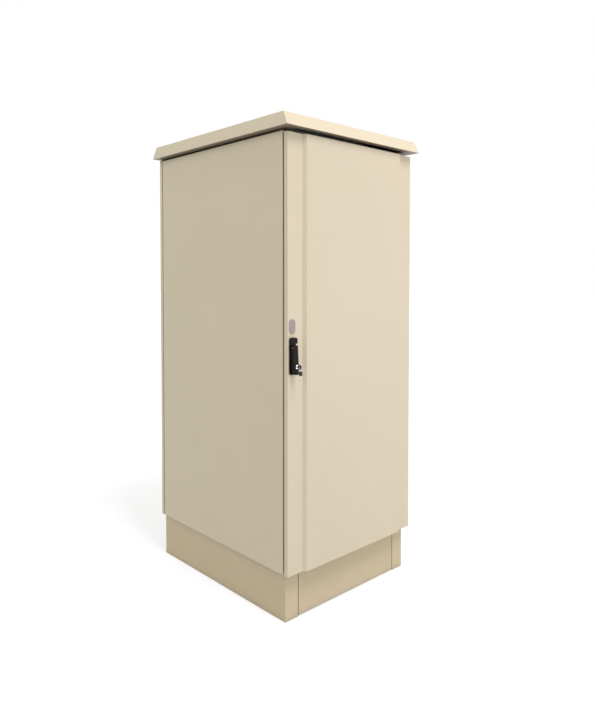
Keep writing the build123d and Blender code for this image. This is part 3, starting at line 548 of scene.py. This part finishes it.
class CABINET_OT_coat_shell(bpy.types.Operator):
    """Coat the door, panels and roof in ivory and the plinth in a darker, warmer copy of the ivory, which is
    painted shade
    """

    bl_idname = "cabinet.coat_shell"
    bl_label = "Coat the Shell"

    def execute(self, context):
        coats = context.scene.cabinet_coats
        shell = powder_coat("ivory_coat", coats.shell_colour, coats)
        # Painted shade: the plinth gets a darker, warmer copy of the ivory coat.
        plinth = powder_coat("plinth_shaded_coat", coats.plinth_shaded_colour, coats)
        shell_nodes = [node for node in SLOT_NODES["cabinet_paint"] if node not in PLINTH_NODES]
        dress(shell_nodes, shell, coats.fold_softness)
        dress(PLINTH_NODES, plinth, coats.fold_softness)
        return {"FINISHED"}


class CABINET_OT_galvanise_frame(bpy.types.Operator):
    """Give the inner frame, rails, rods and hinges their zinc"""

    bl_idname = "cabinet.galvanise_frame"
    bl_label = "Galvanise the Frame"

    def execute(self, context):
        metals = context.scene.cabinet_metals
        zinc = galvanised("galvanised_sheet", metals.zinc_colour)
        dress(SLOT_NODES["zinc_steel"], zinc, metals.zinc_softness)
        return {"FINISHED"}


class CABINET_OT_plate_fasteners(bpy.types.Operator):
    """Plate the screws and bolts and brighten the earth bar and bare plate"""

    bl_idname = "cabinet.plate_fasteners"
    bl_label = "Plate the Fasteners"

    def execute(self, context):
        metals = context.scene.cabinet_metals
        screw = polished("plated_screw", metals.plated_colour, 0.22, 0.38, 300.0)
        copper = polished("earth_copper", metals.copper_colour, 0.25, 0.45, 200.0)
        plate = polished("dull_plate", metals.bare_colour, 0.42, 0.58, 500.0, 0.3)
        for slot, finish in (("plated_fastener", screw), ("earth_copper", copper), ("bare_plate", plate)):
            dress(SLOT_NODES[slot], finish, metals.small_softness)
        return {"FINISHED"}


class CABINET_OT_fit_seals(bpy.types.Operator):
    """Finish the gasket, cable bushes and moulded guides, and lay foam strips round the cabinet floor"""

    bl_idname = "cabinet.fit_seals"
    bl_label = "Fit the Seals"

    def execute(self, context):
        metals = context.scene.cabinet_metals
        rubber = moulded("gasket_rubber", metals.rubber_colour, 0.80, 500.0, 0.25)
        plastic = moulded("guide_plastic", metals.plastic_colour, 0.50, 800.0, 0.10)
        dress(SLOT_NODES["black_seal"], rubber, metals.rubber_rounding, 3)
        dress(SLOT_NODES["moulded_plastic"], plastic, metals.small_softness)
        for name, start, end in self.strip_runs(metals.strip_width / 2):
            mesh = foam_strip_mesh(name, start, end, metals.strip_width, metals.strip_height)
            new_piece(name, mesh, rubber, "cabinet")
        return {"FINISHED"}

    def strip_runs(self, inset):
        """Ends of the strips between the posts, along three edges of the base plate."""
        low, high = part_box("base_plate")
        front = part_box("post_front_left")[1].y
        left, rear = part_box("post_rear_left")[1].x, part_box("post_rear_left")[0].y
        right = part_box("post_rear_right")[0].x
        runs = []
        for name, x in (("left_floor_strip", low.x + inset), ("right_floor_strip", high.x - inset)):
            runs.append((name, Vector((x, front, high.z)), Vector((x, rear, high.z))))
        y = high.y - inset
        runs.append(("rear_floor_strip", Vector((left, y, high.z)), Vector((right, y, high.z))))
        return runs


class CABINET_OT_finish_handle(bpy.types.Operator):
    """Coat the swing handle in black and plate its lock"""

    bl_idname = "cabinet.finish_handle"
    bl_label = "Finish the Handle"

    def execute(self, context):
        coats = context.scene.cabinet_coats
        metals = context.scene.cabinet_metals
        coat = moulded("handle_coat", coats.handle_colour, 0.42, 900.0, 0.12, 0.12)
        dress(SLOT_NODES["black_handle"], coat, coats.handle_rounding, 4)
        chrome = polished("bright_plating", metals.chrome_colour, 0.08, 0.20, 350.0)
        dress(SLOT_NODES["bright_chrome"], chrome, metals.lock_softness)
        return {"FINISHED"}


class CABINET_OT_cut_keys(bpy.types.Operator):
    """Cut the keys, round their bows and wind the split ring"""

    bl_idname = "cabinet.cut_keys"
    bl_label = "Cut the Keys"

    def execute(self, context):
        keys = context.scene.cabinet_keys
        metals = context.scene.cabinet_metals
        plating = polished("key_plating", metals.chrome_colour, 0.14, 0.28, 420.0)
        grip = moulded("key_grip", keys.bow_colour, 0.34, 600.0, 0.06)
        dress(SLOT_NODES["black_key"], grip, keys.bow_rounding, 3)
        for name, node, along, body in (
                ("cut_key_blade", "key_blade", 1, "key"),
                ("spare_cut_blade", "spare_key_blade", 2, "spare_keys")):
            mesh = key_blade_mesh(name, node, along, keys.notch_depth)
            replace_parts(new_piece(name, mesh, plating, body), node)
        ring = ring_mesh("split_ring", "key_ring")
        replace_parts(new_piece("split_ring", ring, plating, "spare_keys"), "key_ring")
        return {"FINISHED"}


class CABINET_OT_set_stage(bpy.types.Operator):
    """Lay the pale floor, hang the softboxes and set the camera"""

    bl_idname = "cabinet.set_stage"
    bl_label = "Set the Stage"

    def execute(self, context):
        stage = context.scene.cabinet_stage
        self.lay_floor(context, stage)
        self.light_room(context, stage)
        for name, place, size, power in (
                ("key_softbox", stage.key_place, stage.key_size, stage.key_power),
                ("top_softbox", stage.top_place, stage.top_size, stage.top_power),
                ("side_softbox", stage.side_place, stage.side_size, stage.side_power)):
            self.hang_softbox(context, name, Vector(place), size, power, stage.lamp_colour)
        self.set_camera(context, stage)
        context.scene.view_settings.view_transform = "Standard"
        return {"FINISHED"}

    def lay_floor(self, context, stage):
        """Large floor that the camera sees as white, with the object's soft shadow on it."""
        half = stage.floor_reach
        mesh = bpy.data.meshes.new("studio_floor")
        corners = [(-half, -half, 0), (half, -half, 0), (half, half, 0), (-half, half, 0)]
        mesh.from_pydata(corners, [], [(0, 1, 2, 3)])
        floor = bpy.data.objects.new("studio_floor", mesh)
        context.scene.collection.objects.link(floor)
        material, tree, shader = new_finish("studio_floor")
        place = placed(tree)
        cloud = ranged(tree, noise(tree, place, 0.8), 0.3, 0.7)
        tone = blended(tree, cloud, shade(stage.floor_colour, 0.99), stage.floor_colour)
        tree.links.new(tone, shader.inputs["Base Color"])
        shader.inputs["Roughness"].default_value = 0.9
        shader.inputs["Emission Color"].default_value = (1.0, 1.0, 1.0, 1.0)
        away = tree.nodes.new("ShaderNodeVectorMath")
        away.operation = "LENGTH"
        tree.links.new(place, away.inputs[0])
        rise = ranged(
            tree, away.outputs["Value"], stage.glow_start, stage.glow_end, stage.near_glow, stage.far_glow)
        glow = times(tree, self.seen(tree), rise)
        tree.links.new(glow, shader.inputs["Emission Strength"])
        mesh.materials.append(material)

    def seen(self, tree):
        """One for rays that show the stage, straight or through gloss and glass."""
        path = tree.nodes.new("ShaderNodeLightPath")
        total = path.outputs["Is Camera Ray"]
        for name in ("Is Glossy Ray", "Is Transmission Ray"):
            node = tree.nodes.new("ShaderNodeMath")
            node.operation = "MAXIMUM"
            tree.links.new(total, node.inputs[0])
            tree.links.new(path.outputs[name], node.inputs[1])
            total = node.outputs["Value"]
        return total

    def light_room(self, context, stage):
        """White surround that lights evenly and shows as plain white."""
        world = bpy.data.worlds.new("studio_surround")
        world.use_nodes = True
        tree = world.node_tree
        surround = tree.nodes["Background"]
        seen = self.seen(tree)
        tree.links.new(blended(tree, seen, stage.fill_colour, (1.0, 1.0, 1.0)), surround.inputs["Color"])
        tree.links.new(ranged(tree, seen, 0.0, 1.0, stage.fill_strength, 1.0), surround.inputs["Strength"])
        context.scene.world = world

    def hang_softbox(self, context, name, place, size, power, colour):
        """Square lamp aimed at the middle of the cabinet."""
        lamp = bpy.data.lights.new(name, "AREA")
        lamp.size = size
        lamp.energy = power
        lamp.color = colour
        box = bpy.data.objects.new(name, lamp)
        box.location = place
        aim = (CAD_BOX[0] + CAD_BOX[1]) / 2 - place
        box.rotation_euler = aim.to_track_quat("-Z", "Y").to_euler()
        context.scene.collection.objects.link(box)

    def set_camera(self, context, stage):
        """Camera at the photograph's place and angle."""
        lens = bpy.data.cameras.new("photo_camera")
        lens.lens = stage.lens
        lens.shift_y = stage.frame_shift
        lens.clip_end = 200.0
        camera = bpy.data.objects.new("photo_camera", lens)
        camera.location = stage.camera_place
        camera.rotation_euler = (math.pi / 2 - stage.pitch, 0.0, stage.heading)
        context.scene.collection.objects.link(camera)
        context.scene.camera = camera


OPERATORS = (
    CABINET_OT_coat_shell, CABINET_OT_galvanise_frame, CABINET_OT_plate_fasteners, CABINET_OT_fit_seals,
    CABINET_OT_finish_handle, CABINET_OT_cut_keys, CABINET_OT_set_stage,
)


class CABINET_PT_dressing(bpy.types.Panel):
    """Steps that dress the cabinet, in order"""

    bl_label = "Cabinet Dressing"
    bl_space_type = "VIEW_3D"
    bl_region_type = "UI"
    bl_category = "Cabinet"

    def draw(self, context):
        for operator in OPERATORS:
            self.layout.operator(operator.bl_idname)


SETTINGS = {
    "cabinet_coats": CoatSettings,
    "cabinet_metals": MetalSettings,
    "cabinet_keys": KeySettings,
    "cabinet_stage": StageSettings,
}
CLASSES = (*SETTINGS.values(), *OPERATORS, CABINET_PT_dressing)


def register():
    for entry in CLASSES:
        bpy.utils.register_class(entry)
    for name, group in SETTINGS.items():
        setattr(bpy.types.Scene, name, bpy.props.PointerProperty(type=group))


def unregister():
    for name in SETTINGS:
        delattr(bpy.types.Scene, name)
    for entry in reversed(CLASSES):
        bpy.utils.unregister_class(entry)


def main():
    """Dress the cabinet, one step after another."""
    register()
    bpy.ops.cabinet.coat_shell()
    bpy.ops.cabinet.galvanise_frame()
    bpy.ops.cabinet.plate_fasteners()
    bpy.ops.cabinet.fit_seals()
    bpy.ops.cabinet.finish_handle()
    bpy.ops.cabinet.cut_keys()
    bpy.ops.cabinet.set_stage()


if __name__ == "__main__":
    main()
